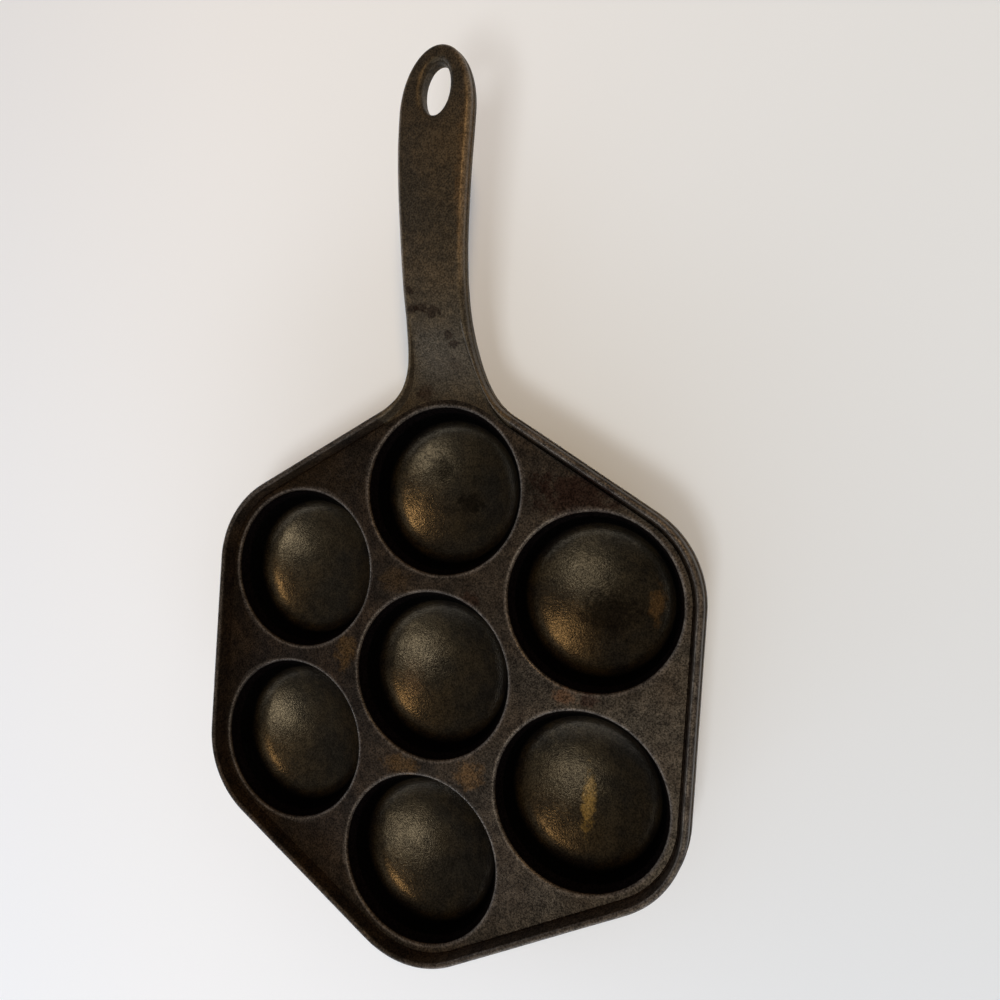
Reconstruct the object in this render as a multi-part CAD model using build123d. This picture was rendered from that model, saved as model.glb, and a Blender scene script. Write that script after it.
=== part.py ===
from build123d import *
import math
import os

os.makedirs("parts", exist_ok=True)

# A cast iron pan for round pancakes: seven cups in a six-sided deck with a raised
# rim, and a handle that rises from one corner to a hanging eye. The real pan is one
# casting. Here it is divided along its natural forms, which meet face to face.
# Millimetres. The origin is under the centre cup, on the surface the pan stands on,
# with +Y along the handle and +Z up.

# Cups
mouth_radius = 29.2        # inside radius where a cup opens in the deck
cup_depth = 19.0           # from the deck down to the inside of a cup
cup_wall = 3.2
floor_radius = 46.0        # curve of a cup's shallow floor
foot_radius = 8.0          # tighter curve between the floor and the side
side_draft = 24.0          # degrees that the straight side leans outwards
pad_cut = 0.8              # how far each round underside is flattened to stand on
mouth_rounding = 1.2       # worn round edge of a mouth
web = 5.6                  # deck left between two neighbouring mouths

# Deck and rim
deck_thickness = 4.0
rim_margin = 2.1           # deck left between an outer mouth and the gutter
gutter_width = 0.8         # narrow channel along the inside of the rim
gutter_depth = 0.4
rim_width = 3.2
rim_height = 4.1           # above the deck
rim_rounding = 1.2         # round top edges of the rim
ridge_rounding = 0.7       # the same edges where the rim runs up the handle
corner_radius = 34.0       # outer corners of the body, seen from above
flash_step = 0.3           # the outer wall is set in by this much above its casting line
flash_drop = 1.0           # that line lies this far below the deck

# Handle, measured from the rounded corner that it grows from
handle_length = 105.3      # to the tip
handle_thickness = 6.2
handle_rounding = 1.8      # round long edges
root_half_width = 24.0     # where its sides leave the body's sides
root_flow_length = 15.5    # how far its sides follow the body before they turn
waist_half_width = 11.2
waist_distance = 31.0
grip_half_width = 12.9
nose_length = 21.5         # pointed round end, from the widest place to the tip
bend_distance = 21.7       # where the rise is steepest
bend_angle = 24.0          # degrees of that rise
bend_height = 13.6         # heights of its upper face above the deck
crown_distance = 48.6
crown_height = 20.7
grip_distance = 75.0
grip_height = 23.5
tip_height = 22.6

# Hanging eye
eye_half_width = 5.0
eye_half_length = 8.5
eye_rounding = 1.8
eye_land = 5.8             # iron between the eye and the tip

# Worked out from the sizes above
cup_pitch = 2 * mouth_radius + web
deck_top = cup_depth + cup_wall - pad_cut
deck_under = deck_top - deck_thickness
quarter_turn = 90
half_step = math.radians(30)
outer_apothem = (cup_pitch * math.cos(half_step) + mouth_radius + rim_margin
                 + gutter_width + rim_width)
body_corner = (outer_apothem - corner_radius) / math.cos(half_step) + corner_radius
waist_y = body_corner + waist_distance
tip_y = body_corner + handle_length
widest_y = tip_y - nose_length
bend_y = body_corner + bend_distance
rise_start = cup_pitch + mouth_radius + mouth_rounding
eye_y = tip_y - eye_land - eye_half_length
tall = deck_top + tip_height + handle_thickness   # clears the whole pan

cup_angles = {
    "cup_back": 90, "cup_back_left": 150, "cup_front_left": 210,
    "cup_front": 270, "cup_front_right": 330, "cup_back_right": 30,
}


def body_outline(inset):
    """The six-sided body seen from above, moved inwards by inset, flats facing X."""
    hexagon = RegularPolygon(outer_apothem - inset, 6, major_radius=False, rotation=30)
    return fillet(hexagon.vertices(), corner_radius - inset)


def foot_place(floor_centre, down):
    """The centre of the foot's arc, which touches both the side and the floor's arc."""
    beside = Vector(mouth_radius + foot_radius * down.Y, deck_top - foot_radius * down.X)
    reach = beside - floor_centre
    along = reach.dot(down)
    gap = floor_radius - foot_radius
    return beside + down * (math.sqrt(along ** 2 - reach.length ** 2 + gap ** 2) - along)


def bowl_solid(thickness):
    """A cup's inside, or with a thickness its outside, with its floor on the Z axis.

    Its section is a shallow arc for the floor, a tighter one for the foot of the side,
    and the straight side, which runs on to just above the deck.
    """
    lean = math.radians(side_draft)
    down = Vector(-math.sin(lean), -math.cos(lean))
    floor_centre = Vector(0, cup_wall - pad_cut + floor_radius)
    foot_centre = foot_place(floor_centre, down)
    meet = math.degrees(math.atan2(foot_centre.Y - floor_centre.Y, foot_centre.X))
    floor_arc = CenterArc(floor_centre, floor_radius + thickness, -quarter_turn, meet + quarter_turn)
    foot_arc = CenterArc(foot_centre, foot_radius + thickness, meet, -side_draft - meet)
    foot = foot_arc @ 1
    brim_z = deck_top + mouth_rounding
    brim = foot - down * ((brim_z - foot.Y) / math.cos(lean))
    section = make_face([
        floor_arc, foot_arc, Line(foot, brim), Line(brim, (0, brim_z)),
        Line((0, brim_z), floor_arc @ 0),
    ])
    return revolve(Plane.XZ * section, Axis.Z)


def cup_places():
    """Each cup's name and centre: one in the middle and six around it."""
    places = {"cup_centre": (0, 0)}
    for name, angle in cup_angles.items():
        turn = math.radians(angle)
        places[name] = (cup_pitch * math.cos(turn), cup_pitch * math.sin(turn))
    return places


def make_cup():
    """One cup below the deck, kept inside its own six-sided share of the body."""
    cell = RegularPolygon(cup_pitch / 2, 6, major_radius=False)
    share = extrude(cell, deck_under)
    return (bowl_solid(cup_wall) & share) - bowl_solid(0)


def make_deck():
    """The flat deck inside the gutter, with the seven mouths."""
    outline = body_outline(rim_width + gutter_width)
    deck = Pos(0, 0, deck_under) * extrude(outline, deck_thickness)
    hollow = bowl_solid(0)
    for x, y in cup_places().values():
        deck -= Pos(x, y, 0) * hollow
    mouths = deck.edges().filter_by(GeomType.CIRCLE).group_by(Axis.Z)[-1]
    mouths = [edge for edge in mouths if abs(edge.radius - mouth_radius) < 0.01]
    return fillet(mouths, mouth_rounding)


def make_rim():
    """The raised rim, its gutter and the outer wall, open where the handle starts."""
    wall = extrude(body_outline(flash_step), deck_thickness + rim_height)
    wall -= extrude(body_outline(rim_width), tall)
    wall = fillet(wall.edges().group_by(Axis.Z)[-1], rim_rounding)
    skirt = extrude(body_outline(0) - body_outline(rim_width), deck_thickness - flash_drop)
    channel = body_outline(rim_width) - body_outline(rim_width + gutter_width)
    channel = extrude(channel, deck_thickness - gutter_depth)
    rim = Pos(0, 0, deck_under) * (wall + skirt + channel)
    opening = Pos(0, body_corner, 0) * Box(2 * root_half_width, body_corner, 2 * tall)
    return rim - opening


def flank_point(x, inset):
    """The point of the body's side beside the handle, x away from the Y axis."""
    y = (outer_apothem - inset - x * math.sin(half_step)) / math.cos(half_step)
    return Vector(x, y)


def handle_outline(inset):
    """The handle and its root seen from above, moved inwards by inset."""
    leave = flank_point(root_half_width, inset)
    along = Vector(-math.cos(half_step), math.sin(half_step)) * root_flow_length
    waist = Vector(waist_half_width - inset, waist_y)
    widest = Vector(grip_half_width - inset, widest_y)
    swell = Vector(0, (widest_y - waist_y) / 3)
    edges = [
        Line((leave.X, cup_pitch), leave),
        Bezier(leave, leave + along, waist - Vector(0, root_flow_length), waist),
        Bezier(waist, waist + swell, widest - swell, widest),
        EllipticalCenterArc((0, widest_y), widest.X, nose_length - inset,
                            arc_size=quarter_turn),
    ]
    edges += [edge.mirror(Plane.YZ) for edge in edges]
    edges.append(Line((-leave.X, cup_pitch), (leave.X, cup_pitch)))
    return make_face(edges)


def rise_edge(start, bend):
    """A long edge of the root seen from the side, from the deck up to the bend."""
    third = (bend.X - start.X) / 3
    steep = Vector(third, third * math.tan(math.radians(bend_angle)))
    return Bezier(start, start + Vector(third, 0), bend - steep, bend)


def grip_edge(bend, lower):
    """A long edge of the grip seen from the side, from the bend to the tip."""
    turn = math.radians(bend_angle)
    crown = Vector(body_corner + crown_distance, deck_top + crown_height - lower)
    grip = Vector(body_corner + grip_distance, deck_top + grip_height - lower)
    tip = Vector(tip_y, deck_top + tip_height - lower)
    steep = Vector(math.cos(turn), math.sin(turn))
    return Spline(bend, crown, grip, tip, tangents=(steep, Vector(1, 0)))


def side_bend(depth):
    """The place of the steepest rise, at a depth below the handle's upper face."""
    turn = math.radians(bend_angle)
    down = Vector(math.sin(turn), -math.cos(turn)) * depth
    return Vector(bend_y, deck_top + bend_height) + down


def across(edges):
    """A closed side view made as wide as the whole root."""
    return extrude(Pos(-root_half_width, 0, 0) * (Plane.YZ * make_face(edges)), 2 * root_half_width)


def is_bare_long_edge(edge):
    """Whether an edge of the bar runs along it, past the deck and clear of the ridges."""
    box = edge.bounding_box()
    along = box.size.Y > handle_rounding and box.max.Y > rise_start + handle_rounding
    under_ridge = box.min.Z > deck_top - handle_rounding and box.max.Y < bend_y + handle_rounding
    return along and not under_ridge


def is_ridge_crest(edge):
    """Whether an edge of the ridges runs up the root along their top."""
    box = edge.bounding_box()
    return box.min.Z > deck_top and box.size.X > rim_width and box.max.Y > rise_start + rim_width


def is_eye_mouth(edge):
    """Whether an edge of the bar goes round the eye on its upper or under side."""
    box = edge.bounding_box()
    beside = eye_half_length + eye_rounding
    inside = box.min.Y > eye_y - beside and box.max.Y < eye_y + beside
    return inside and box.size.Y > eye_half_length


def make_bar():
    """The rising bar of the handle, with round long edges."""
    top = Vector(rise_start, deck_top)
    bottom = Vector(rise_start, deck_under)
    low_bend = side_bend(handle_thickness)
    upper = grip_edge(side_bend(0), 0)
    lower = grip_edge(low_bend, handle_thickness)
    side = across([
        Line((cup_pitch, top.Y), top), rise_edge(top, side_bend(0)), upper,
        Line(upper @ 1, lower @ 1), lower, rise_edge(bottom, low_bend),
        Line(bottom, (cup_pitch, bottom.Y)), Line((cup_pitch, bottom.Y), (cup_pitch, top.Y)),
    ])
    bar = extrude(handle_outline(0), tall) & side
    return fillet([edge for edge in bar.edges() if is_bare_long_edge(edge)], handle_rounding)


def make_ridges():
    """The two ends of the rim, which run up both sides of the root and fade out."""
    top = Vector(rise_start, deck_top + rim_height)
    bottom = Vector(rise_start, deck_under + deck_thickness / 2)
    low_bend = side_bend(handle_thickness / 2)
    side = across([
        Line((cup_pitch, top.Y), top), rise_edge(top, side_bend(0)),
        Line(side_bend(0), low_bend), rise_edge(bottom, low_bend),
        Line(bottom, (cup_pitch, bottom.Y)), Line((cup_pitch, bottom.Y), (cup_pitch, top.Y)),
    ])
    ridges = extrude(handle_outline(flash_step) - handle_outline(rim_width), tall) & side
    return fillet([edge for edge in ridges.edges() if is_ridge_crest(edge)], ridge_rounding)


def cut_eye(bar):
    """The bar with its oval hanging eye, whose two mouths are round edged."""
    bar -= Pos(0, eye_y, 0) * extrude(Ellipse(eye_half_width, eye_half_length), tall)
    return fillet([edge for edge in bar.edges() if is_eye_mouth(edge)], eye_rounding)


def make_handle():
    """The whole handle with its eye, cut to fit against the deck."""
    body = extrude(body_outline(rim_width + gutter_width), tall)
    return cut_eye(make_bar()) + make_ridges() - body


def stretch(solid, low_y, high_y):
    """The length of a solid that lies between two distances along Y."""
    middle = (low_y + high_y) / 2
    return solid & Pos(0, middle, 0) * Box(4 * root_half_width, high_y - low_y, 2 * tall)


def write(shape, name):
    export_step(shape, f"parts/{name}.step")


cup = make_cup()
for name, (x, y) in cup_places().items():
    write(Pos(x, y, 0) * cup, name)
write(make_deck(), "deck_plate")
write(make_rim(), "rim")
handle = make_handle()
write(stretch(handle, 0, waist_y), "handle_root")
write(stretch(handle, waist_y, widest_y), "handle_grip")
write(stretch(handle, widest_y, tip_y + nose_length), "hanging_eye")
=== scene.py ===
import math

import bmesh
import bpy
from mathutils import Euler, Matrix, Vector


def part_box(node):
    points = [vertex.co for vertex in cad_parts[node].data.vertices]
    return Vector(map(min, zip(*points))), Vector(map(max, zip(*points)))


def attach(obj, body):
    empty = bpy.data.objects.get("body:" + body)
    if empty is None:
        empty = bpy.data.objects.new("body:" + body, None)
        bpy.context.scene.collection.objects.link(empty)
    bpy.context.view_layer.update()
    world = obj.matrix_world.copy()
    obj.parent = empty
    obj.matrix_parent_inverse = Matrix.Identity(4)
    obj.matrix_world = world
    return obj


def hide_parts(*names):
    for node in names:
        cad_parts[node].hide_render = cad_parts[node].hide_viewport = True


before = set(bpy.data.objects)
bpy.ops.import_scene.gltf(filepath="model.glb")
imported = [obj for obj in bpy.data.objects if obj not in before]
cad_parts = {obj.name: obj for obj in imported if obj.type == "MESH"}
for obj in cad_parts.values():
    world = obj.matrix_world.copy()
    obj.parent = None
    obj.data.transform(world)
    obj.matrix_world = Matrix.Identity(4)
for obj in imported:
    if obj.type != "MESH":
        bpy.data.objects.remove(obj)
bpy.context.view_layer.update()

print("stage: frame loaded")

mm = 0.001  # sizes below are in millimetres, meshes in metres
weldGap = 0.004 * mm  # points nearer than this are one


def boxOf(node):
    low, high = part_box(node)
    return low / mm, high / mm


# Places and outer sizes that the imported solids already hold
deckLow, deckHigh = boxOf("deck_plate")
rimLow, rimHigh = boxOf("rim")
cupLow, cupHigh = boxOf("cup_back")
rootLow, rootHigh = boxOf("handle_root")
gripLow, gripHigh = boxOf("handle_grip")
eyeLow, eyeHigh = boxOf("hanging_eye")
skinRoom = 0.06  # kept free inside those outer sizes for the unevenness of the skin
pan = {
    "deckTop": deckHigh.z,
    "deckUnder": deckLow.z,
    "cupPitch": (cupLow.y + cupHigh.y) / 2,
    "apothem": rimHigh.x - skinRoom,
    "cornerRadius": 34.0,
    "rimWidth": 3.2,
    "gutterWidth": 0.8,
}
halfStep = math.radians(30)
deckInset = pan["rimWidth"] + pan["gutterWidth"]
cornerCentre = (pan["apothem"] - pan["cornerRadius"]) / math.cos(halfStep)


# Small helpers

def linear(hexColour):
    values = [int(hexColour[i:i + 2], 16) / 255 for i in (1, 3, 5)]
    values = [v / 12.92 if v <= 0.04045 else ((v + 0.055) / 1.055) ** 2.4 for v in values]
    return (*values, 1.0)


def addNode(tree, kind, settings=None, links=None):
    # one node with its settings, its fixed inputs and its links from other sockets
    node = tree.nodes.new(kind)
    for name, value in (settings or {}).items():
        setattr(node, name, value)
    for socket, value in (links or {}).items():
        target = node.inputs[socket]
        if isinstance(value, bpy.types.NodeSocket):
            tree.links.new(value, target)
        else:
            target.default_value = value
    return node


def smooth(value, low, high):
    t = min(max((value - low) / (high - low), 0.0), 1.0)
    return t * t * (3 - 2 * t)


def mix(a, b, t):
    return a + (b - a) * t


def hermite(y, start, end):
    # height at y on the cubic between two (y, height, slope) points
    span = end[0] - start[0]
    t = (y - start[0]) / span
    a = start[1] * (1 + 2 * t) * (1 - t) ** 2 + end[1] * t * t * (3 - 2 * t)
    b = start[2] * t * (1 - t) ** 2 - end[2] * t * t * (1 - t)
    return a + b * span


def along(profile, y):
    # height at y on a chain of such points
    for start, end in zip(profile, profile[1:]):
        if y <= end[0] or end is profile[-1]:
            return hermite(y, start, end)


def bezier(points, t):
    while len(points) > 1:
        points = [a.lerp(b, t) for a, b in zip(points, points[1:])]
    return points[0]


def meshFromGrids(name, grids, caps=()):
    # one closed mesh of sheets, each a list of rows of points in millimetres
    verts, faces = [], []
    for grid in grids:
        start, width = len(verts), len(grid[0])
        for row in grid:
            verts.extend(Vector(point) * mm for point in row)
        for i in range(len(grid) - 1):
            for j in range(width - 1):
                a = start + i * width + j
                faces.append((a, a + 1, a + width + 1, a + width))
    for cap in caps:
        start = len(verts)
        verts.extend(Vector(point) * mm for point in cap)
        faces.append(tuple(range(start, start + len(cap))))
    mesh = bpy.data.meshes.new(name)
    mesh.from_pydata(verts, [], faces)
    work = bmesh.new()
    work.from_mesh(mesh)
    bmesh.ops.remove_doubles(work, verts=work.verts, dist=weldGap)
    bmesh.ops.dissolve_degenerate(work, edges=work.edges, dist=0.002 * mm)
    bmesh.ops.recalc_face_normals(work, faces=work.faces)
    if work.calc_volume(signed=True) < 0:
        bmesh.ops.reverse_faces(work, faces=work.faces)
    work.to_mesh(mesh)
    work.free()
    piece = bpy.data.objects.new(name, mesh)
    bpy.context.scene.collection.objects.link(piece)
    return piece


def treeWith(name, inputs):
    # an empty geometry tree with named inputs, and its input and output nodes
    tree = bpy.data.node_groups.new(name, "GeometryNodeTree")
    tree.interface.new_socket("Geometry", in_out="INPUT", socket_type="NodeSocketGeometry")
    tree.interface.new_socket("Geometry", in_out="OUTPUT", socket_type="NodeSocketGeometry")
    for label, kind in inputs:
        tree.interface.new_socket(label, in_out="INPUT", socket_type=kind)
    return tree, addNode(tree, "NodeGroupInput"), addNode(tree, "NodeGroupOutput")


def grow(piece, tree, values):
    # runs a tree on a piece and keeps the result as its plain mesh
    modifier = piece.modifiers.new(tree.name, "NODES")
    modifier.node_group = tree
    for item in tree.interface.items_tree:
        if item.item_type == "SOCKET" and item.in_out == "INPUT" and item.name in values:
            modifier[item.identifier] = values[item.name]
    graph = bpy.context.evaluated_depsgraph_get()
    mesh = bpy.data.meshes.new_from_object(piece.evaluated_get(graph), depsgraph=graph)
    piece.modifiers.remove(modifier)
    piece.data = mesh
    work = bmesh.new()
    work.from_mesh(mesh)
    bmesh.ops.remove_doubles(work, verts=work.verts, dist=weldGap)
    bmesh.ops.recalc_face_normals(work, faces=work.faces)
    if work.calc_volume(signed=True) < 0:
        bmesh.ops.reverse_faces(work, faces=work.faces)
    work.to_mesh(mesh)
    work.free()
    mesh.shade_smooth()
    mesh.set_sharp_from_angle(angle=math.radians(48))
    return piece


# Sand-cast skin: the gentle waves and grain that the sand mould leaves on every face

castSkin = {
    "Wave height": 0.16,   # mm, from crest to hollow
    "Wave size": 26.0,
    "Grain height": 0.05,
    "Grain size": 2.6,
}


def addCastSkin(tree, geometry, source):
    # moves points by a noise of their place, so that neighbouring pieces still meet
    place = addNode(tree, "GeometryNodeInputPosition").outputs[0]
    offset = None
    for label, seed in (("Wave", 3.7), ("Grain", 8.1)):
        scale = addNode(tree, "ShaderNodeMath", {"operation": "DIVIDE"},
                        {0: 1.0, 1: source.outputs[label + " size"]})
        noise = addNode(tree, "ShaderNodeTexNoise", {"noise_dimensions": "4D"},
                        {"Vector": place, "W": seed, "Scale": scale.outputs[0], "Detail": 1.0})
        centred = addNode(tree, "ShaderNodeVectorMath", {"operation": "SUBTRACT"},
                          {0: noise.outputs["Color"], 1: (0.5, 0.5, 0.5)})
        sized = addNode(tree, "ShaderNodeVectorMath", {"operation": "SCALE"},
                        {0: centred.outputs[0], "Scale": source.outputs[label + " height"]})
        if offset is None:
            offset = sized.outputs[0]
        else:
            offset = addNode(tree, "ShaderNodeVectorMath", {"operation": "ADD"},
                             {0: offset, 1: sized.outputs[0]}).outputs[0]
    moved = addNode(tree, "GeometryNodeSetPosition", None, {"Geometry": geometry, "Offset": offset})
    return moved.outputs[0]


def finishTree(tree, geometry, source, target):
    plain = addNode(tree, "GeometryNodeRealizeInstances", None, {"Geometry": geometry})
    coated = addNode(tree, "GeometryNodeSetMaterial", None,
                     {"Geometry": plain.outputs[0], "Material": source.outputs["Material"]})
    tree.links.new(coated.outputs[0], target.inputs[0])


skinInputs = [(label, "NodeSocketFloat") for label in castSkin]
skinInputs.append(("Material", "NodeSocketMaterial"))


def skinTree():
    tree, source, target = treeWith("castSkin", skinInputs)
    skin = addCastSkin(tree, source.outputs["Geometry"], source)
    finishTree(tree, skin, source, target)
    return tree


def skinValues(material):
    values = {label: value * mm for label, value in castSkin.items()}
    values["Material"] = material
    return values


# Cups: one section turned about the cup's axis

cup = {
    "mouthRadius": 29.2,
    "depth": 19.0,
    "wall": 3.2,
    "floorRadius": 46.0,
    "footRadius": 8.0,      # tighter curve between the floor and the side
    "sideDraft": 24.0,      # degrees
    "padCut": 0.8,
    "mouthRounding": 1.2,
    "underFillet": 2.2,     # between a cup and the deck's underside
    "segments": 192,
}
bowlFloor = pan["deckTop"] - cup["depth"]
bowlStand = bowlFloor - cup["wall"] + cup["padCut"] + skinRoom


def bowlCentres():
    # centres of the floor's arc and the foot's arc, and the way up along the side
    lean = math.radians(cup["sideDraft"])
    up = Vector((math.sin(lean), math.cos(lean)))
    floorCentre = Vector((0.0, bowlFloor + cup["floorRadius"]))
    beside = Vector((cup["mouthRadius"] - cup["footRadius"] * up.y,
                     pan["deckTop"] + cup["footRadius"] * up.x))
    reach = beside - floorCentre
    gap = cup["floorRadius"] - cup["footRadius"]
    rise = reach.dot(up)
    slide = rise + math.sqrt(rise ** 2 - reach.length_squared + gap ** 2)
    return floorCentre, beside - up * slide, up


def bowlLine(thickness):
    # fine (radius, height) points of a cup's inside, or its outside, from the axis up
    floorCentre, footCentre, up = bowlCentres()
    meet = math.atan2(footCentre.x, floorCentre.y - footCentre.y)
    top = math.radians(90 - cup["sideDraft"])
    points = []
    for centre, radius, first, last in (
            (floorCentre, cup["floorRadius"], 0.0, meet), (footCentre, cup["footRadius"], meet, top)):
        for i in range(101):
            tilt = mix(first, last, i / 100)
            points.append(centre + Vector((math.sin(tilt), -math.cos(tilt))) * (radius + thickness))
    side = (pan["deckTop"] - points[-1].y) / up.y
    return points + [points[-1] + up * side]


def bowlRadius(z, thickness):
    line = bowlLine(thickness)
    for a, b in zip(line, line[1:]):
        if b.y >= z:
            return mix(a.x, b.x, min(max((z - a.y) / max(b.y - a.y, 1e-9), 0.0), 1.0))


def bowlRun(thickness, low, high, count):
    # evenly spaced points of that line between two heights
    inside = [p for p in bowlLine(thickness) if low < p.y < high]
    first = Vector((bowlRadius(low, thickness), low))
    run = [first] + inside + [Vector((bowlRadius(high, thickness), high))]
    lengths = [0.0]
    for a, b in zip(run, run[1:]):
        lengths.append(lengths[-1] + (b - a).length)
    points, j = [], 0
    for i in range(count + 1):
        want = lengths[-1] * i / count
        while j < len(run) - 2 and lengths[j + 1] < want:
            j += 1
        share = (want - lengths[j]) / (lengths[j + 1] - lengths[j])
        points.append(tuple(run[j].lerp(run[j + 1], share)))
    return points


def cupSection():
    # from the floor's middle up the inside, across the joint and down the outside
    inner = bowlRun(0.0, bowlFloor, pan["deckUnder"], 44)
    joint = pan["deckUnder"] - cup["underFillet"]
    padEdge = bowlRadius(bowlStand, cup["wall"])
    outer = bowlRun(cup["wall"], bowlStand + 0.35, joint, 30)
    outer.reverse()
    pad = [(padEdge - 0.5, bowlStand + 0.03), (padEdge - 1.1, bowlStand),
           (padEdge / 2, bowlStand), (0.0, bowlStand)]
    return inner + outer + pad


def cupTree():
    tree, source, target = treeWith(
        "cupTurning", [("Segments", "NodeSocketInt"), ("Centre", "NodeSocketVector")] + skinInputs)
    section = addNode(tree, "GeometryNodeMeshToCurve", None, {"Mesh": source.outputs["Geometry"]})
    circle = addNode(tree, "GeometryNodeCurvePrimitiveCircle", {"mode": "RADIUS"},
                     {"Resolution": source.outputs["Segments"], "Radius": 1e-7})
    turned = addNode(tree, "GeometryNodeCurveToMesh", None,
                     {"Curve": circle.outputs[0], "Profile Curve": section.outputs[0]})
    moved = addNode(tree, "GeometryNodeTransform", None,
                    {"Geometry": turned.outputs[0], "Translation": source.outputs["Centre"]})
    welded = addNode(tree, "GeometryNodeMergeByDistance", None,
                     {"Geometry": moved.outputs[0], "Distance": weldGap})
    skin = addCastSkin(tree, welded.outputs[0], source)
    finishTree(tree, skin, source, target)
    return tree


def sectionObject(name, points):
    # an open line of (across, height) points, drawn with height downwards as a sweep reads it
    mesh = bpy.data.meshes.new(name)
    verts = [(x * mm, -z * mm, 0.0) for x, z in points]
    mesh.from_pydata(verts, [(i, i + 1) for i in range(len(verts) - 1)], [])
    piece = bpy.data.objects.new(name, mesh)
    bpy.context.scene.collection.objects.link(piece)
    return piece


cupAngles = {
    "cup_back": 90, "cup_back_left": 150, "cup_front_left": 210,
    "cup_front": 270, "cup_front_right": 330, "cup_back_right": 30,
}
cupCentres = {"cup_centre": Vector((0.0, 0.0))}
for cupName, cupAngle in cupAngles.items():
    turn = math.radians(cupAngle)
    cupCentres[cupName] = Vector((math.cos(turn), math.sin(turn))) * pan["cupPitch"]


def makeCups(material):
    tree = cupTree()
    cups = []
    for name, centre in cupCentres.items():
        piece = sectionObject(name.replace("cup", "bowl"), cupSection())
        values = skinValues(material)
        values["Segments"] = cup["segments"]
        values["Centre"] = (centre.x * mm, centre.y * mm, 0.0)
        cups.append((grow(piece, tree, values), name))
    return cups


# Deck: the flat between the mouths, with the top of every cup's wall

def outlineHit(origin, direction, inset):
    # distance along a ray from inside to the body's outline moved in by inset
    reach = pan["apothem"] - inset
    best = 1e9
    for k in range(6):
        normal = Vector((math.cos(k * 2 * halfStep), math.sin(k * 2 * halfStep)))
        slope = direction.dot(normal)
        if slope > 1e-9:
            best = min(best, (reach - origin.dot(normal)) / slope)
    hit = origin + direction * best
    corner = round((math.atan2(hit.y, hit.x) - halfStep) / (2 * halfStep))
    angle = halfStep + corner * 2 * halfStep
    centre = Vector((math.cos(angle), math.sin(angle))) * cornerCentre
    side = abs((hit - centre).normalized().angle_signed(centre.normalized(), 0.0))
    if side < halfStep:
        radius = pan["cornerRadius"] - inset
        back = (origin - centre).dot(direction)
        inside = (origin - centre).length_squared - radius ** 2
        best = -back + math.sqrt(back * back - inside)
    return best


def cellEdge(name):
    # for each ray of a cup, how far its share of the deck reaches, and whether it ends at the rim
    centre = cupCentres[name]
    count = cup["segments"]
    others = [place for other, place in cupCentres.items() if other != name]
    rays = []
    for k in range(count):
        angle = 2 * math.pi * k / count
        direction = Vector((math.cos(angle), math.sin(angle)))
        reach, atRim = outlineHit(centre, direction, deckInset), True
        for place in others:
            span = place - centre
            slope = direction.dot(span.normalized())
            if slope > 1e-9 and span.length / 2 / slope < reach - 1e-6:
                reach, atRim = span.length / 2 / slope, False
        rays.append([centre + direction * reach, atRim, direction])
    if name != "cup_centre":
        pinCorners(rays, centre)
    return rays


def pinCorners(rays, centre):
    # puts a ray's end on each point where two shares of the deck meet the rim
    out = centre.normalized()
    for side in (-1, 1):
        turn = side * halfStep
        edge = Vector((out.x * math.cos(turn) - out.y * math.sin(turn),
                       out.x * math.sin(turn) + out.y * math.cos(turn)))
        corner = edge * (pan["apothem"] - deckInset)
        nearest = max(rays, key=lambda ray: ray[2].dot((corner - centre).normalized()))
        nearest[0], nearest[1] = corner, True


def deckSheets(name):
    centre = cupCentres[name]
    top, under = pan["deckTop"], pan["deckUnder"]
    rounding, fillet = cup["mouthRounding"], cup["underFillet"]
    wall = bowlRun(0.0, under, top - rounding, 3)
    lipRadius = wall[-1][0] + rounding
    lip = [(lipRadius - rounding * math.cos(a), top - rounding + rounding * math.sin(a))
           for a in [math.radians(18 * i) for i in range(1, 6)]]
    inner = wall + lip
    foot = bowlRadius(under - fillet, cup["wall"])
    curve = [(foot + fillet * (1 - math.cos(a)), under - fillet + fillet * math.sin(a))
             for a in [math.radians(15 * i) for i in range(7)]]
    upper, lower, side = [], [], []
    rays = cellEdge(name)
    for end, atRim, _ in rays + rays[:1]:
        reach = (end - centre).length
        direction = (end - centre).normalized()

        def at(radius, z):
            return (centre.x + direction.x * radius, centre.y + direction.y * radius, z)

        topRow = [at(r, z) for r, z in inner]
        topRow += [at(mix(lipRadius, reach, f), top) for f in (0.12, 0.4, 0.7, 1.0)]
        lowRow = [at(*inner[0])]
        for r, z in curve:
            if r > reach:
                span = min(max((reach - foot) / fillet, 0.0), 1.0)
                z = under - fillet + fillet * math.sin(math.acos(1 - span))
            lowRow.append(at(min(r, reach), z))
        lowRow += [at(mix(max(min(curve[-1][0], reach), foot), reach, f), lowRow[-1][2])
                   for f in (0.5, 1.0)]
        upper.append(topRow)
        lower.append(lowRow)
        side.append((topRow[-1], lowRow[-1], atRim))
    sheets = [upper, lower]
    for first, second in zip(side, side[1:]):
        if first[2] and second[2]:
            sheets.append([[first[0], first[1]], [second[0], second[1]]])
    return sheets


def makeDeck(tree, material):
    sheets = []
    for name in cupCentres:
        sheets += deckSheets(name)
    piece = meshFromGrids("deck", sheets)
    return grow(piece, tree, skinValues(material))


# Rim: its section, which also becomes the handle's edge

rim = {
    "height": rimHigh.z - pan["deckTop"],
    "foot": pan["rimWidth"],
    "neck": 2.45,          # inner face just under the bead, from the outer wall
    "setIn": 0.3,          # outer wall above the casting line
    "lineDrop": 1.0,       # casting line below the deck
    "gutterDepth": 0.4,
    "underRounding": 0.5,
}

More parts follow.
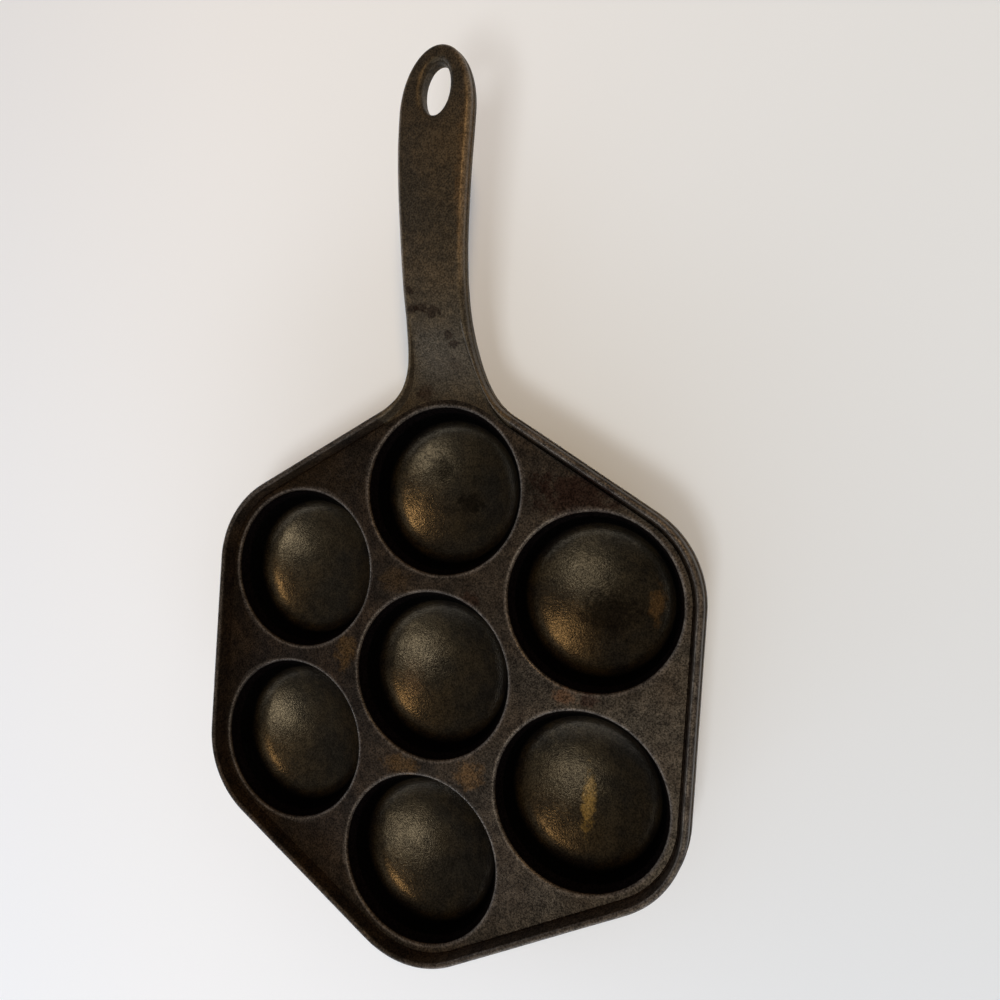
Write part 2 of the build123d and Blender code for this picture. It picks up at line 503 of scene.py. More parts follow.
handle = {
    "rootHalfWidth": rootHigh.x,
    "rootFlow": 15.5,
    "waistHalfWidth": 11.2,
    "waistY": gripLow.y,
    "gripHalfWidth": eyeHigh.x - skinRoom,
    "widestY": eyeLow.y,
    "tipY": eyeHigh.y - skinRoom,
    "thickness": 6.2,
    "rounding": 1.8,
    "bendAngle": 24.0,
    "fadeStart": 88.0,     # where the rim's ends begin to sink into the root
    "fadeEnd": 120.0,
    "crown": 0.25,         # the grip's upper face is a little higher in the middle
    "lineStep": 0.25,      # set-in of its sides above the casting line
    "eyeInset": 2.4,       # edge strip beside the eye
    "columns": 41,
}
eye = {"halfWidth": 5.0, "halfLength": 8.5, "rounding": 1.8, "y": handle["tipY"] - 5.8 - 8.5}

bend = math.tan(math.radians(handle["bendAngle"]))
rise = {"startY": 94.0, "bendY": 121.2, "bendZ": 13.6, "crownY": 148.1, "crownZ": 20.7,
        "gripY": 174.5, "gripZ": 23.15, "tipZ": 22.3}
upperLine = [
    (rise["startY"], pan["deckTop"], 0.0),
    (rise["bendY"], pan["deckTop"] + rise["bendZ"], bend),
    (rise["crownY"], pan["deckTop"] + rise["crownZ"], 0.16),
    (rise["gripY"], pan["deckTop"] + rise["gripZ"], 0.012),
    (handle["tipY"], pan["deckTop"] + rise["tipZ"], -0.07),
]
lowBend = (rise["bendY"] + handle["thickness"] * math.sin(math.atan(bend)),
           pan["deckTop"] + rise["bendZ"] - handle["thickness"] * math.cos(math.atan(bend)), bend)
lowerLine = [(rise["startY"], pan["deckUnder"], 0.0), lowBend] + [
    (y, z - handle["thickness"], slope) for y, z, slope in upperLine[2:]]


def upperZ(y):
    return pan["deckTop"] if y < rise["startY"] else along(upperLine, y)


def lowerZ(y):
    return pan["deckUnder"] if y < rise["startY"] else along(lowerLine, y)


def fade(y):
    t = min(max((y - handle["fadeStart"]) / (handle["fadeEnd"] - handle["fadeStart"]), 0.0), 1.0)
    return t ** 1.3


def edgeSection(weight, top, under, inset):
    # (distance in from the outer face, height) points from the deck over the edge to the underside
    foot, neck, step = rim["foot"], rim["neck"], rim["setIn"]
    deep = rim["gutterDepth"]
    bead = (neck - step) / 2
    beadX, beadZ = step + bead, top + rim["height"] - bead
    rimRows = [
        (deckInset, top), (deckInset - 0.06, top - 0.1), (deckInset - 0.24, top - 0.9 * deep),
        (deckInset - 0.42, top - deep), (foot + 0.12, top - 0.85 * deep), (foot - 0.06, top - 0.05),
        (foot - 0.2, top + 0.5), (mix(foot, neck, 0.55), top + 1.5), (mix(foot, neck, 0.85), top + 2.4),
    ]
    rimRows += [(beadX + bead * math.cos(a), beadZ + bead * math.sin(a))
                for a in [math.radians(20 * i) for i in range(10)]]
    line = top - rim["lineDrop"]
    rimRows += [(step, top + 1.5), (step, top), (step, line + 0.1), (step - 0.04, line),
                (0.05, line - 0.06), (0.0, line - 0.2), (0.0, mix(line, under, 0.5))]
    corner = rim["underRounding"]
    rimRows += [(corner * (1 - math.cos(a)), under + corner * (1 - math.sin(a)))
                for a in [math.radians(22.5 * i) for i in range(5)]]
    rimRows += [(deckInset / 2, under), (deckInset, under)]

    bow, ledge = handle["rounding"], handle["lineStep"]
    middle = (top + under) / 2
    barRows = [(mix(inset, bow + ledge, i / 9), top) for i in range(9)]
    barRows += [(ledge + bow * (1 - math.sin(a)), top - bow * (1 - math.cos(a)))
                for a in [math.radians(10 * i) for i in range(10)]]
    barRows += [(ledge, mix(top - bow, middle, f)) for f in (0.4, 0.9)]
    barRows += [(ledge * 0.6, middle - 0.05), (0.0, middle - 0.25)]
    barRows += [(0.0, mix(middle, under + bow, f)) for f in (0.4, 0.65, 0.85)]
    barRows += [(bow * (1 - math.cos(a)), under + bow * (1 - math.sin(a)))
                for a in [math.radians(22.5 * i) for i in range(5)]]
    barRows += [(mix(bow, inset, 0.5), under), (inset, under)]
    return [(mix(a[0], b[0], weight), mix(a[1], b[1], weight)) for a, b in zip(rimRows, barRows)]


def flankPoint(x, inset):
    y = (pan["apothem"] - inset - x * math.sin(halfStep)) / math.cos(halfStep)
    return Vector((x, y))


def rimPath():
    # the foot line of the gutter, from the handle's left side round to its right side
    start = flankPoint(handle["rootHalfWidth"], deckInset)
    radius = pan["cornerRadius"] - deckInset
    points = [Vector((-start.x, start.y))]
    for k in range(5):
        middle = math.radians(150 + 60 * k)
        centre = Vector((math.cos(middle), math.sin(middle))) * cornerCentre
        arc = [centre + Vector((math.cos(a), math.sin(a))) * radius
               for a in [middle - halfStep + 2 * halfStep * i / 24 for i in range(25)]]
        points += spread(points[-1], arc[0]) + arc
    return points + spread(points[-1], start) + [start]


def spread(first, last, step=1.6):
    count = max(2, round((last - first).length / step))
    return [first.lerp(last, i / count) for i in range(1, count)]


def rimTree():
    tree, source, target = treeWith("rimSweep", [("Section", "NodeSocketObject")] + skinInputs)
    section = addNode(tree, "GeometryNodeObjectInfo", None, {"Object": source.outputs["Section"]})
    line = addNode(tree, "GeometryNodeMeshToCurve", None, {"Mesh": section.outputs["Geometry"]})
    path = addNode(tree, "GeometryNodeMeshToCurve", None, {"Mesh": source.outputs["Geometry"]})
    swept = addNode(tree, "GeometryNodeCurveToMesh", None, {
        "Curve": path.outputs[0], "Profile Curve": line.outputs[0], "Fill Caps": True})
    skin = addCastSkin(tree, swept.outputs[0], source)
    finishTree(tree, skin, source, target)
    return tree


def makeRim(material):
    rows = edgeSection(0.0, pan["deckTop"], pan["deckUnder"], deckInset)
    section = sectionObject("rimSection", [(deckInset - d, z) for d, z in rows])
    work = bmesh.new()
    work.from_mesh(section.data)
    work.verts.ensure_lookup_table()
    work.edges.new((work.verts[-1], work.verts[0]))
    work.to_mesh(section.data)
    work.free()
    path = rimPath()
    mesh = bpy.data.meshes.new("rim")
    mesh.from_pydata([(p.x * mm, p.y * mm, 0.0) for p in path],
                     [(i, i + 1) for i in range(len(path) - 1)], [])
    piece = bpy.data.objects.new("edgeRim", mesh)
    bpy.context.scene.collection.objects.link(piece)
    values = skinValues(material)
    values["Section"] = section
    grow(piece, rimTree(), values)
    bpy.data.objects.remove(section)
    return piece


# Handle: rungs between its two edges, a ring of faces round the eye

def handleSide(t, inset):
    # point on the right edge moved in by inset; t runs 0 to 1 to 2 to 3 over its three curves
    leave = flankPoint(handle["rootHalfWidth"], inset)
    waist = Vector((handle["waistHalfWidth"] - inset, handle["waistY"]))
    widest = Vector((handle["gripHalfWidth"] - inset, handle["widestY"]))
    if t <= 1:
        flow = handle["rootFlow"]
        onward = Vector((-math.cos(halfStep), math.sin(halfStep))) * flow
        return bezier([leave, leave + onward, waist - Vector((0, flow)), waist], t)
    if t <= 2:
        swell = Vector((0, (widest.y - waist.y) / 3))
        return bezier([waist, waist + swell, widest - swell, widest], t - 1)
    angle = math.radians(90) * (t - 2)
    nose = handle["tipY"] - handle["widestY"] - inset
    return widest.x * Vector((math.cos(angle), 0)) + Vector((0, widest.y + nose * math.sin(angle)))


def stripInset(t):
    return mix(deckInset, handle["eyeInset"], smooth(t, 0.0, 1.4))


def bodyLine(x):
    # the deck's edge across the foot of the handle
    radius = pan["cornerRadius"] - deckInset
    if abs(x) <= radius * math.sin(halfStep):
        return cornerCentre + math.sqrt(radius ** 2 - x * x)
    return flankPoint(abs(x), deckInset).y


def handleStations():
    counts = (46, 44, 34)
    return [k + i / counts[k] for k in range(3) for i in range(counts[k])] + [3.0]


def stripRow(t):
    # the edge section at t, as points of the right side
    inset = stripInset(t)
    y = handleSide(t, inset).y
    row = []
    for d, z in edgeSection(fade(y), 0.0, -1.0, inset):
        row.append(handleSide(t, d))
    rows = edgeSection(fade(y), upperZ(y), lowerZ(y), inset)
    return [(p.x, p.y, z + upperZ(p.y) - upperZ(y) if z > mix(lowerZ(y), upperZ(y), 0.5)
             else z + lowerZ(p.y) - lowerZ(y)) for p, (_, z) in zip(row, rows)]


def firstStripRow():
    # square to the body's side, where the rim ends
    foot = flankPoint(handle["rootHalfWidth"], deckInset)
    outward = Vector((math.sin(halfStep), math.cos(halfStep)))
    rows = edgeSection(0.0, pan["deckTop"], pan["deckUnder"], deckInset)
    return [(foot.x + outward.x * (deckInset - d), foot.y + outward.y * (deckInset - d), z)
            for d, z in rows]


def crownAt(u, y):
    return handle["crown"] * (1 - u * u) * smooth(y, 118, 140)


def rung(t, height):
    # points across the handle at t, from its left strip to its right strip
    end = handleSide(t, stripInset(t))
    start = bodyLine(handle["rootHalfWidth"])
    flat = 1 - smooth(end.y, start, start + 22)
    row = []
    for i in range(handle["columns"]):
        u = 2 * i / (handle["columns"] - 1) - 1
        bulge = (bodyLine(handle["rootHalfWidth"] * u) - start) * flat
        y = end.y + bulge
        z = height(y) + (crownAt(u, y) if height is upperZ else 0.0)
        row.append((end.x * u, y, z))
    return row


def eyeRing(loop, height, up):
    # rows from a loop of points in to the eye's rounded mouth and half way down its wall
    rows = [loop]
    inner = []
    for x, y, _ in loop:
        angle = math.atan2((y - eye["y"]) / eye["halfLength"], x / eye["halfWidth"])
        inner.append((math.cos(angle), math.sin(angle)))
    lip = eye["rounding"]

    def ringAt(out, drop):
        points = []
        for c, s in inner:
            y = eye["y"] + (eye["halfLength"] + out) * s
            points.append(((eye["halfWidth"] + out) * c, y, height(y) - up * drop))
        return points

    mouth = ringAt(lip, 0.0)
    for f in (0.35, 0.7):
        row = []
        for a, b in zip(loop, mouth):
            y = mix(a[1], b[1], f)
            row.append((mix(a[0], b[0], f), y, height(y)))
        rows.append(row)
    rows.append(mouth)
    for i in range(1, 8):
        a = math.radians(90 * i / 7)
        rows.append(ringAt(lip * (1 - math.sin(a)), lip * (1 - math.cos(a))))
    rows.append(ringAt(0.0, handle["thickness"] / 2))
    return rows


def makeHandle(tree, material):
    stations = handleStations()
    eyeStart = eye["y"] - eye["halfLength"] - eye["rounding"] - 1.6
    last = max(i for i, t in enumerate(stations) if handleSide(t, stripInset(t)).y < eyeStart)
    right = [firstStripRow()] + [stripRow(t) for t in stations]
    strip = right + [[(-x, y, z) for x, y, z in row] for row in reversed(right[:-1])]
    upper = [rung(t, upperZ) for t in stations[:last + 1]]
    lower = [rung(t, lowerZ) for t in stations[:last + 1]]
    grids = [strip, upper, lower]
    around = strip[last + 1:len(strip) - last - 1]
    for side, rungs, height, up in ((0, upper, upperZ, 1), (-1, lower, lowerZ, -1)):
        outer = [row[side] for row in around]
        loop = outer + rungs[-1][1:-1] + outer[:1]
        grids.append(eyeRing(loop, height, up))
    grids.append([upper[0], lower[0]])
    first, mirrored = strip[0], strip[-1]
    piece = meshFromGrids("handleBar", grids, [first, mirrored])
    return grow(piece, tree, skinValues(material))


# Wear and painted highlight: how far each point is rubbed bright, partly real wear and partly a painted
# highlight on the lips, the rim's crest and the handle's edges; kept on the pieces for the materials

# Painted shade: near black and with little shine on the cups' steep sides, the mouths' walls and the
# rim's gutter, where shade falls
paintedShade = {
    "starts": (0.2, 1.0),    # mm below the deck, where the painted shade on a cup's side begins
    "ends": (6.0, 14.5),     # where the painted shade has faded out, towards the rubbed floor
    "gutter": 0.6,           # how dark the rim's gutter is painted, shade with some old grease, from 0 to 1
}
wearAndHighlight = {
    "lipOut": 0.35,        # mm from a mouth's edge to the rubbed line round it, partly a painted highlight
    "lipWidth": 0.35,      # half width of that line
    "lip": 0.9,            # how far it is rubbed
    "crestDepth": 0.7,     # below the top of the rim
    "crest": 0.45,
    "edgeIn": 0.8,         # from the handle's side in to the rubbed line along it, partly a painted highlight
    "edgeWidth": 0.8,      # half width of that line
}


def bump(distance, width):
    return math.exp(-(distance / width) ** 2)


def bodyWearAndHighlight(x, y, z):
    if z > pan["deckTop"] + 0.5:
        crest = pan["deckTop"] + rim["height"]
        return wearAndHighlight["crest"] * smooth(z, crest - wearAndHighlight["crestDepth"], crest)
    if z < pan["deckTop"] - 1.5:
        return 0.0
    lip = cup["mouthRadius"] + wearAndHighlight["lipOut"]
    nearest = min(math.hypot(x - c.x, y - c.y) for c in cupCentres.values())
    return wearAndHighlight["lip"] * bump(nearest - lip, wearAndHighlight["lipWidth"])


def handleWearAndHighlight(x, y, z):
    top = upperZ(y)
    if z < top - 2.4:
        return 0.0
    if z > top + 0.6:
        crest = top + rim["height"] * (1 - fade(y))
        return wearAndHighlight["crest"] * smooth(z, crest - wearAndHighlight["crestDepth"], crest) * (1 - fade(y))
    if y > handle["widestY"]:
        nose = min(1.0, (y - handle["widestY"]) / (handle["tipY"] - handle["widestY"]))
        side = handle["gripHalfWidth"] * math.sqrt(max(0.0, 1 - nose * nose))
        return bump(side - abs(x) - wearAndHighlight["edgeIn"], wearAndHighlight["edgeWidth"])
    if y < handle["waistY"]:
        return 0.0
    side = mix(handle["waistHalfWidth"], handle["gripHalfWidth"],
               smooth(y, handle["waistY"], handle["widestY"]))
    return bump(side - abs(x) - wearAndHighlight["edgeIn"], wearAndHighlight["edgeWidth"])


def cupPaintedShade(x, y, z):
    # painted shade: 1 on the steep sides of the cups, 0 on their floors and on the deck
    depth = pan["deckTop"] - z
    return smooth(depth, *paintedShade["starts"]) * (1 - smooth(depth, *paintedShade["ends"]))


def outlineDepth(x, y):
    # how far a point is in from the body's outer face
    here = Vector((x, y))
    corner = halfStep * (1 + 2 * round((math.atan2(y, x) - halfStep) / (2 * halfStep)))
    out = Vector((math.cos(corner), math.sin(corner)))
    arm = here - out * cornerCentre
    if arm.dot(out) > 0 and arm.angle(out, 0.0) < halfStep:
        return pan["cornerRadius"] - arm.length
    turns = [2 * halfStep * k for k in range(6)]
    return pan["apothem"] - max(x * math.cos(a) + y * math.sin(a) for a in turns)


def gutterShadeAndGrease(x, y, z):
    # painted shade, with some old grease, in the gutter and at the foot of the rim's inner face
    if z < pan["deckTop"] - 1.0:
        return 0.0
    return paintedShade["gutter"] * smooth(outlineDepth(x, y), rim["neck"] - 0.2, rim["foot"] + 0.2)


def mark(piece, name, rule):
    layer = piece.data.attributes.new(name, "FLOAT", "POINT")
    layer.data.foreach_set("value", [rule(*(v.co / mm)) for v in piece.data.vertices])


# Materials

shineReach = 75.0   # mm to the pan's left and right, between which the shine changes: a painted sheen, stronger on one side
raggedSize = 3.2    # mm, of the ragged edge of a mark of use
raggedDepth = 2.8


def mathNode(tree, operation, a, b=0.0, clamp=False):
    node = addNode(tree, "ShaderNodeMath", {"operation": operation, "use_clamp": clamp}, {0: a, 1: b})
    return node.outputs[0]


def rangeNode(tree, value, low, high, toLow=0.0, toHigh=1.0):
    node = addNode(tree, "ShaderNodeMapRange", {"interpolation_type": "SMOOTHSTEP"}, {
        "Value": value, "From Min": low, "From Max": high, "To Min": toLow, "To Max": toHigh})
    return node.outputs["Result"]


def noiseNode(tree, place, size, seed, detail=2.0, roughness=0.5):
    # a noise whose features are about size millimetres, of a place in millimetres
    node = addNode(tree, "ShaderNodeTexNoise", {"noise_dimensions": "4D"}, {
        "Vector": place, "W": seed, "Scale": 1 / size, "Detail": detail, "Roughness": roughness})
    return node.outputs["Fac"]


def blendNode(tree, share, first, second, mode="MIX"):
    node = addNode(tree, "ShaderNodeMix", {"data_type": "RGBA", "blend_type": mode},
                   {0: share, 6: first, 7: second})
    return node.outputs[2]


def patchMask(tree, place, edge, at, size, strength, soft):
    # a ragged spot round a place on the pan, crisp or soft at its edge
    away = addNode(tree, "ShaderNodeVectorMath", {"operation": "SUBTRACT"}, {0: place, 1: at})
    sized = addNode(tree, "ShaderNodeVectorMath", {"operation": "DIVIDE"}, {0: away.outputs[0], 1: size})
    reach = addNode(tree, "ShaderNodeVectorMath", {"operation": "LENGTH"}, {0: sized.outputs[0]})
    total = mathNode(tree, "ADD", reach.outputs["Value"], edge)
    return rangeNode(tree, total, 0.8 + soft, 0.8 - soft, 0.0, strength)


def ironMaterial(name, look, patches=()):
    # baked oil over cast iron: a thin brown-black film that takes the colour, iron grain under it
    material = bpy.data.materials.new(name)
    material.use_nodes = True
    tree = material.node_tree
    shader = tree.nodes["Principled BSDF"]
    source = addNode(tree, "ShaderNodeTexCoord")
    place = addNode(tree, "ShaderNodeVectorMath", {"operation": "SCALE"},
                    {0: source.outputs["Object"], "Scale": 1 / mm}).outputs[0]
    rubbedAndLit = addNode(tree, "ShaderNodeAttribute", {"attribute_name": "wearAndHighlight"}).outputs["Fac"]
    shaded = addNode(tree, "ShaderNodeAttribute", {"attribute_name": "paintedShade"}).outputs["Fac"]

    cloud = noiseNode(tree, place, look["cloudSize"], 1.3, 3.0, 0.6)
    mottle = noiseNode(tree, place, look["mottleSize"], 5.1, 4.0, 0.65)
    grain = noiseNode(tree, place, look["grainSize"], 2.2, 2.0, 0.6)
    speck = noiseNode(tree, place, look["speckSize"], 7.7, 1.0, 0.5)

    # colour: black film, browner where it is thin, grey iron where it is rubbed through, which is partly
    # a painted highlight, and near black where shade is painted
    thin = mathNode(tree, "ADD", mathNode(tree, "MULTIPLY", cloud, 0.6),
                    mathNode(tree, "MULTIPLY", mottle, 0.4))
    thin = rangeNode(tree, thin, look["thinFrom"], look["thinTo"])
    colour = blendNode(tree, thin, linear(look["film"]), linear(look["thinFilm"]))
    across = addNode(tree, "ShaderNodeSeparateXYZ", None, {0: place}).outputs["X"]
    # painted sheen: the shine runs from leftShine on the pan's left to rightShine on its right
    shine = rangeNode(tree, across, -shineReach, shineReach, look["leftShine"], look["rightShine"])
    edge = mathNode(tree, "SUBTRACT", noiseNode(tree, place, raggedSize, 9.4, 4.0, 0.75), 0.5)
    edge = mathNode(tree, "MULTIPLY", edge, raggedDepth)
    for at, size, tone, strength, patchShine, soft in patches:
        mask = patchMask(tree, place, edge, at, size, strength, soft)
        colour = blendNode(tree, mask, colour, linear(tone))
        shine = mathNode(tree, "MULTIPLY", shine, rangeNode(tree, mask, 0.0, 1.0, 1.0, patchShine))
    # rubbed lines: partly wear, partly a painted highlight on roundings
    wornAndLit = mathNode(tree, "MULTIPLY", rubbedAndLit, rangeNode(tree, mottle, 0.25, 0.6, 0.35, 1.0))
    bareAndLit = mathNode(tree, "MULTIPLY", wornAndLit, look["rubbedAndLitShare"])
    colour = blendNode(tree, bareAndLit, colour, linear(look["rubbedAndLit"]))
    ragged = mathNode(tree, "MULTIPLY", mathNode(tree, "SUBTRACT", mottle, 0.5), 0.6)
    # painted shade: the near-black colour on the steep sides and in the gutter, ragged at its edge
    shadeShare = mathNode(tree, "ADD", shaded, ragged)
    shadeShare = rangeNode(tree, mathNode(tree, "MULTIPLY", shadeShare, shaded), 0.1, 0.7)
    colour = blendNode(tree, shadeShare, colour, linear(look["paintedShade"]))
    shade = rangeNode(tree, speck, 0.3, 0.7, 1 - look["speckShade"], 1 + look["speckShade"])
    colour = blendNode(tree, 1.0, colour, addNode(tree, "ShaderNodeCombineXYZ", None, {
        0: shade, 1: shade, 2: shade}).outputs[0], "MULTIPLY")
    tree.links.new(colour, shader.inputs["Base Color"])

    # shine: the polished film shines; under the painted shade on the cups' steep sides it hardly shines
    level = rangeNode(tree, shaded, 0.05, 0.8, 1.0, look["shadeShine"])
    uneven = rangeNode(tree, mottle, 0.3, 0.7, 1 - look["shineVaries"], 1 + look["shineVaries"])
    sparkle = rangeNode(tree, speck, 0.3, 0.7, 1 - look["sparkle"], 1 + look["sparkle"])
    for share in (level, uneven, sparkle):
        shine = mathNode(tree, "MULTIPLY", shine, share)
    tree.links.new(shine, shader.inputs["Specular IOR Level"])
    shader.inputs["Specular Tint"].default_value = linear(look["shineTint"])
    drift = mathNode(tree, "MULTIPLY", mathNode(tree, "SUBTRACT", cloud, 0.5), look["roughnessVaries"])
    rough = mathNode(tree, "ADD", look["roughness"], drift)
    rough = mathNode(tree, "SUBTRACT", rough, mathNode(tree, "MULTIPLY", wornAndLit, 0.12), True)
    tree.links.new(rough, shader.inputs["Roughness"])

    # relief: sand grain of two sizes
    coarse = addNode(tree, "ShaderNodeBump", None, {
        "Height": grain, "Strength": 1.0, "Distance": look["grainHeight"] * mm})
    fine = addNode(tree, "ShaderNodeBump", None, {
        "Height": speck, "Strength": 1.0, "Distance": look["speckHeight"] * mm,
        "Normal": coarse.outputs[0]})
    tree.links.new(fine.outputs[0], shader.inputs["Normal"])
    return material


# Three finishes of one sand-cast iron. Sizes of clouds and grain are in millimetres. Real sand
# grain is 0.2 to 0.4 mm, finer than a pixel of the view, so the speck is drawn at 0.5 mm.

# Black film baked hard in the cups: the floors are rubbed to a satin, the steep walls carry painted
# shade
cupLook = {
    "film": "#090706", "thinFilm": "#181208", "thinFrom": 0.42, "thinTo": 0.62,
    "rubbedAndLit": "#6a635a", "rubbedAndLitShare": 0.5,
    "cloudSize": 17.0, "mottleSize": 5.0, "grainSize": 1.1, "speckSize": 0.5,
    "grainHeight": 0.06, "speckHeight": 0.10, "speckShade": 0.5, "sparkle": 0.4,
    "leftShine": 0.56, "rightShine": 0.34, "shineTint": "#ffe8c0", "shineVaries": 0.25,
    # colour and shine of the painted shade
    "paintedShade": "#020202", "shadeShine": 0.02,
    "roughness": 0.34, "roughnessVaries": 0.16,
}
# Thinner film on the deck and rim: browner, dry and speckled, bright iron on the lips and crest, partly
# a painted highlight
deckLook = {
    "film": "#120d09", "thinFilm": "#23190f", "thinFrom": 0.4, "thinTo": 0.66,
    "rubbedAndLit": "#77706a", "rubbedAndLitShare": 0.35,
    "cloudSize": 24.0, "mottleSize": 4.5, "grainSize": 1.1, "speckSize": 0.5,
    "grainHeight": 0.05, "speckHeight": 0.10, "speckShade": 0.6, "sparkle": 0.55,
    "leftShine": 0.08, "rightShine": 0.32, "shineTint": "#ffecd0", "shineVaries": 0.4,
    # colour and shine of the painted shade
    "paintedShade": "#060404", "shadeShine": 0.05,
    "roughness": 0.46, "roughnessVaries": 0.25,
}
# Rougher as-cast skin on the handle, which no batter or spatula smooths
handleLook = {
    "film": "#1b1610", "thinFilm": "#2e2417", "thinFrom": 0.4, "thinTo": 0.66,
    "rubbedAndLit": "#6b5a45", "rubbedAndLitShare": 0.35,
    "cloudSize": 20.0, "mottleSize": 2.6, "grainSize": 1.2, "speckSize": 0.55,
    "grainHeight": 0.08, "speckHeight": 0.09, "speckShade": 0.5, "sparkle": 0.42,
    "leftShine": 0.42, "rightShine": 0.42, "shineTint": "#ffe6be", "shineVaries": 0.3,
    # colour and shine of the painted shade
    "paintedShade": "#050403", "shadeShine": 0.06,
    "roughness": 0.5, "roughnessVaries": 0.2,
}

# Marks of use and two painted highlights, each with its place, half sizes, colour, strength, shine and
# softness
top = pan["deckTop"]
deckMarks = [
    ((-9.3, -32.8, top), (7.0, 4.2, 9.0), "#3b2a12", 0.75, 0.9, 0.4),    # baked-on oil
    ((17.5, -30.9, top), (6.0, 5.0, 9.0), "#45321a", 0.8, 0.9, 0.4),
    ((48.7, 0.8, top), (4.6, 3.2, 9.0), "#402b1b", 0.75, 0.6, 0.3),      # rust
    ((57.0, 1.2, top), (3.6, 2.6, 9.0), "#1d0d08", 0.8, 0.4, 0.3),
    ((-15.9, 31.6, top), (6.5, 4.5, 9.0), "#2d200f", 0.6, 0.8, 0.45),
    ((-34.6, 4.2, top), (4.5, 7.0, 9.0), "#3a2a14", 0.75, 0.9, 0.4),
    ((13.4, 28.0, top), (4.2, 3.4, 9.0), "#1c0f08", 0.75, 0.4, 0.35),
    ((32.2, 67.4, top), (4.4, 4.0, 9.0), "#0c0906", 0.7, 0.5, 0.35),
    ((48.0, 66.0, top), (17.0, 8.5, 9.0), "#180c08", 0.85, 0.3, 0.4),    # dry red-brown
    ((-52.0, 64.0, top), (22.0, 10.0, 9.0), "#1c140a", 0.6, 0.7, 0.45),
]
cupMarks = [
    ((57.2, 26.5, top - 18), (11.5, 9.0, 9.0), "#0e0b08", 0.9, 0.3, 0.5),    # dark stain
    ((73.6, 31.8, top - 14), (2.8, 6.5, 7.0), "#3d2a10", 0.9, 1.5, 0.4),     # golden baked oil
    ((54.4, -38.7, top - 18), (2.6, 10.0, 8.0), "#6b5628", 0.85, 1.3, 0.4),   # crust
    ((-14.5, -8.0, top - 16), (4.2, 9.0, 8.0), "#2b1a0a", 0.6, 1.5, 0.5),     # painted highlight: warm gold at the lower left of the centre cup's floor
    ((-9.0, 71.6, top - 17), (6.5, 5.5, 8.0), "#0c0906", 0.85, 0.35, 0.4),
    ((3.1, 60.5, top - 17), (6.5, 5.5, 8.0), "#0c0906", 0.85, 0.35, 0.4),
]
handleMarks = [
    ((-7.9, 128.9, top + 15), (1.6, 1.9, 9.0), "#140b06", 0.85, 0.4, 0.2),    # rust pits
    ((-4.4, 123.6, top + 14), (3.2, 1.3, 9.0), "#140b06", 0.85, 0.4, 0.2),
    ((-0.5, 122.3, top + 14), (3.6, 2.0, 9.0), "#140b06", 0.85, 0.4, 0.2),
    ((-7.6, 123.4, top + 14), (2.0, 1.4, 9.0), "#140b06", 0.85, 0.4, 0.2),
    ((3.7, 115.1, top + 9), (2.0, 1.9, 9.0), "#140b06", 0.85, 0.4, 0.2),
    ((5.6, 113.0, top + 8), (3.2, 1.4, 9.0), "#140b06", 0.85, 0.4, 0.2),
    ((4.6, 106.9, top + 4), (3.0, 2.6, 9.0), "#1a110a", 0.5, 0.6, 0.4),
    ((-7.9, 97.6, top + 1), (4.0, 3.4, 9.0), "#1a0e07", 0.7, 0.5, 0.4),
    ((11.5, 160.0, top + 22), (2.6, 34.0, 5.0), "#39260f", 0.55, 1.05, 0.4),    # painted highlight: warm gold along the handle's right edge
]

bodyIron = ironMaterial("oilBlackenedIron", cupLook, cupMarks)
deckIron = ironMaterial("brownedCastIron", deckLook, deckMarks)
handleIron = ironMaterial("roughCastIron", handleLook, handleMarks)

skin = skinTree()
pieces = makeCups(bodyIron)
print("stage: cups made")
pieces.append((makeDeck(skin, deckIron), "deck_plate"))
print("stage: deck made")
pieces.append((makeRim(deckIron), "rim"))
print("stage: rim made")
handlePiece = makeHandle(skin, handleIron)
print("stage: handle made")

for piece, node in pieces:
    # rubbed lines, partly a painted highlight
    mark(piece, "wearAndHighlight", bodyWearAndHighlight)
    # painted shade on the cups' sides and the mouths' walls, painted shade with some grease in the rim's
    # gutter
    mark(piece, "paintedShade", gutterShadeAndGrease if node == "rim" else cupPaintedShade)
    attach(piece, "root")
    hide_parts(node)
mark(handlePiece, "wearAndHighlight", handleWearAndHighlight)
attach(handlePiece, "root")
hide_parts("handle_root", "handle_grip", "hanging_eye")

# Board, lamps and camera

stage = {
    # the board's colour at its left and at its right; the darker right is painted shade
    "boardLeft": "#f0f5fc",
    "boardRight": "#dce6f2",
    "boardFade": (-150.0, 190.0),   # mm, from the first to the second
    "boardSize": 3.0,
    "worldColour": "#f6faff",
    "worldStrength": 0.21,
    "lamps": [  # name, place and size in metres, watts, colour
        ("frontWindow", (0.1, -1.3, 0.30), (2.8, 0.5), 20.5, "#eaf2ff"),
        ("leftWindow", (-1.3, -0.3, 0.23), (2.4, 0.4), 14.8, "#eaf2ff"),
        ("backWindow", (0.9, 0.7, 0.4), (1.2, 0.6), 1.5, "#fffaf2"),
        ("whiteLamp", (0.13, -0.54, 1.12), (0.36, 0.36), 4.7, "#fffdf6"),
        ("warmLamp", (0.47, 0.55, 1.02), (0.18, 0.18), 6.4, "#ffd8a4"),
    ],
}


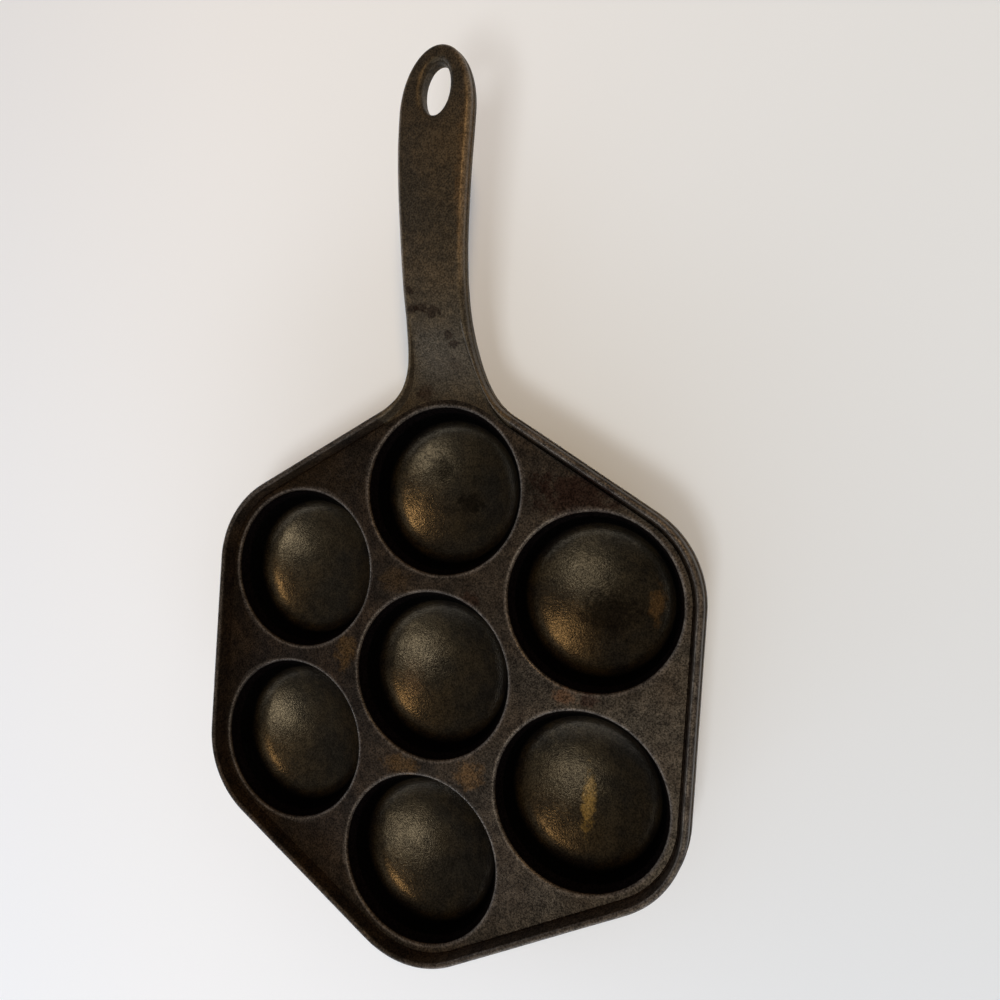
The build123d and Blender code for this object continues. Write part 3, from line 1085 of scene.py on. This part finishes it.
def makeBoard():
    # white-painted board, flat and almost without gloss; its colour is a little darker away from the
    # window, a painted shade
    half = stage["boardSize"] / 2
    mesh = bpy.data.meshes.new("board")
    corners = [(-half, -half, 0), (half, -half, 0), (half, half, 0), (-half, half, 0)]
    mesh.from_pydata(corners, [], [(0, 1, 2, 3)])
    board = bpy.data.objects.new("board", mesh)
    bpy.context.scene.collection.objects.link(board)
    material = bpy.data.materials.new("paintedBoard")
    material.use_nodes = True
    shader = material.node_tree.nodes["Principled BSDF"]
    tree = material.node_tree
    place = addNode(tree, "ShaderNodeTexCoord").outputs["Object"]
    across = addNode(tree, "ShaderNodeSeparateXYZ", None, {0: place}).outputs["X"]
    low, high = stage["boardFade"]
    share = rangeNode(tree, across, low * mm, high * mm)
    paint = blendNode(tree, share, linear(stage["boardLeft"]), linear(stage["boardRight"]))
    tree.links.new(paint, shader.inputs["Base Color"])
    shader.inputs["Roughness"].default_value = 0.9
    shader.inputs["Specular IOR Level"].default_value = 0.2
    mesh.materials.append(material)


def makeWorld():
    world = bpy.data.worlds.new("room")
    world.use_nodes = True
    shade = world.node_tree.nodes["Background"]
    shade.inputs["Color"].default_value = linear(stage["worldColour"])
    shade.inputs["Strength"].default_value = stage["worldStrength"]
    bpy.context.scene.world = world


def addLamp(name, place, size, power, colour):
    lamp = bpy.data.lights.new(name, "AREA")
    lamp.shape = "RECTANGLE"
    lamp.size, lamp.size_y = size
    lamp.energy = power
    lamp.color = linear(colour)[:3]
    holder = bpy.data.objects.new(name, lamp)
    bpy.context.scene.collection.objects.link(holder)
    holder.location = place
    holder.rotation_euler = (-Vector(place)).to_track_quat("-Z", "Y").to_euler()


def makeCamera():
    # measured from the round mouths and the six-sided rim
    camera = bpy.data.cameras.new("view")
    camera.sensor_width = 36.0
    camera.lens = 26.87
    camera.clip_start = 0.01
    holder = bpy.data.objects.new("view", camera)
    bpy.context.scene.collection.objects.link(holder)
    holder.location = Vector((113.8, 66.6, 231.1 + pan["deckTop"])) * mm
    holder.rotation_euler = Euler([math.radians(a) for a in (0.523, 21.697, 4.016)])
    bpy.context.scene.camera = holder


makeBoard()
makeWorld()
for lampValues in stage["lamps"]:
    addLamp(*lampValues)
makeCamera()
bpy.context.scene.view_settings.view_transform = "Standard"

print("stage: set up")
